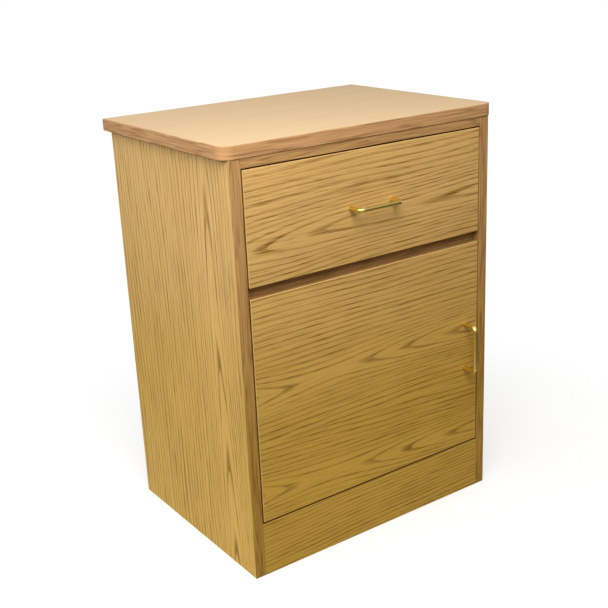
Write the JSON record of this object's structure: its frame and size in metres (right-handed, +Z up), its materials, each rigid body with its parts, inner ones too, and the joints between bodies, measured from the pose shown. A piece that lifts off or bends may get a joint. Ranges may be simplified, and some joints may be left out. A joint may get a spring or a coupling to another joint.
{
  "type": "bedside cabinet",
  "caption": "Wood-finish bedside cabinet with a drawer over a hinged door, wire pulls, a flush kick panel and a pale top with rounded front corners.",
  "frame": {"origin": "on the floor, in the middle of the whole object's box", "axes": "+Z up, the drawer and the door face -Y, X across the width"},
  "size_m": [0.5724, 0.449, 0.762],
  "materials": {
    "back_board": "plain hardboard",
    "screw_steel": "zinc plated",
    "core_board": "particle board",
    "inner_board": "satin",
    "edge_band": "satin",
    "bumper_rubber": "clear soft plastic",
    "front_veneer": "satin, grain across",
    "pull_brass": "polished",
    "drawer_board": "satin",
    "hinge_steel": "nickel plated, satin",
    "roller_nylon": "moulded",
    "runner_steel": "epoxy coated",
    "side_veneer": "satin, grain upright",
    "backer": "plain balancing laminate",
    "top_laminate": "fine textured laminate, pale wood"
  },
  "bodies": {
    "carcass": {"back_panel": "back_board", "back_panel_screws": "screw_steel", "base_rear_rail": "core_board", "bottom_panel": "inner_board", "divider_edge_band": "edge_band", "divider_panel": "inner_board", "hinge_side_barrel_lower": "hinge_steel", "hinge_side_barrel_upper": "hinge_steel", "kick_panel": "front_veneer", "runner_cabinet_left": "runner_steel", "runner_cabinet_right": "runner_steel", "runner_cabinet_screws": "screw_steel", "shelf_edge_band": "edge_band", "shelf_panel": "inner_board", "shelf_pins": "screw_steel", "side_edge_band_left": "edge_band", "side_edge_band_right": "edge_band", "side_panel_left": "side_veneer", "side_panel_right": "side_veneer", "top_backer": "backer", "top_core": "core_board", "top_edge_band": "edge_band", "top_fixing_screws": "screw_steel", "top_front_rail": "core_board", "top_laminate": "top_laminate", "top_rail_edge_band": "edge_band", "top_rear_rail": "core_board"},
    "drawer": {"drawer_bottom": "drawer_board", "drawer_box_back": "drawer_board", "drawer_box_front": "drawer_board", "drawer_front_band": "edge_band", "drawer_front_panel": "front_veneer", "drawer_front_screws": "screw_steel", "drawer_pull": "pull_brass", "drawer_pull_screws": "screw_steel", "drawer_side_left": "drawer_board", "drawer_side_right": "drawer_board", "runner_drawer_left": "runner_steel", "runner_drawer_right": "runner_steel", "runner_drawer_screws": "screw_steel"},
    "front_rollers": {"roller_front_left": "roller_nylon", "roller_front_right": "roller_nylon"},
    "rear_rollers": {"roller_rear_left": "roller_nylon", "roller_rear_right": "roller_nylon"},
    "door": {"door_bumpers": "bumper_rubber", "door_edge_band": "edge_band", "door_panel": "front_veneer", "door_pull": "pull_brass", "door_pull_screws": "screw_steel", "hinge_door_barrel_lower": "hinge_steel", "hinge_door_barrel_upper": "hinge_steel"},
    "hinge_links": {"hinge_link_lower": "hinge_steel", "hinge_link_upper": "hinge_steel"}
  },
  "joints": [
    {"name": "drawer_slide", "type": "slide", "parent": "carcass", "child": "drawer", "axis": [0, -1, 0], "range_m": [0, 0.265]},
    {"name": "front_roller_turn", "type": "hinge", "parent": "carcass", "child": "front_rollers", "pos_m": [0, -0.1595, 0.538], "axis": [1, 0, 0], "continuous": true},
    {"name": "rear_roller_turn", "type": "hinge", "parent": "drawer", "child": "rear_rollers", "pos_m": [0, 0.1619, 0.542], "axis": [1, 0, 0], "continuous": true},
    {"name": "door_swing", "type": "hinge", "parent": "carcass", "child": "hinge_links", "pos_m": [-0.264, -0.187, 0.307], "axis": [0, 0, -1], "range_deg": [0, 45]},
    {"name": "door_on_link_turn", "type": "hinge", "parent": "hinge_links", "child": "door", "pos_m": [-0.2413, -0.187, 0.307], "axis": [0, 0, -1], "range_deg": [0, 50]}
  ],
  "couplings": [
    {"joint": "front_roller_turn", "follows": "drawer_slide", "rad_per_m": 142.86},
    {"joint": "rear_roller_turn", "follows": "drawer_slide", "rad_per_m": 90.909},
    {"joint": "door_on_link_turn", "follows": "door_swing", "ratio": 1}
  ]
}
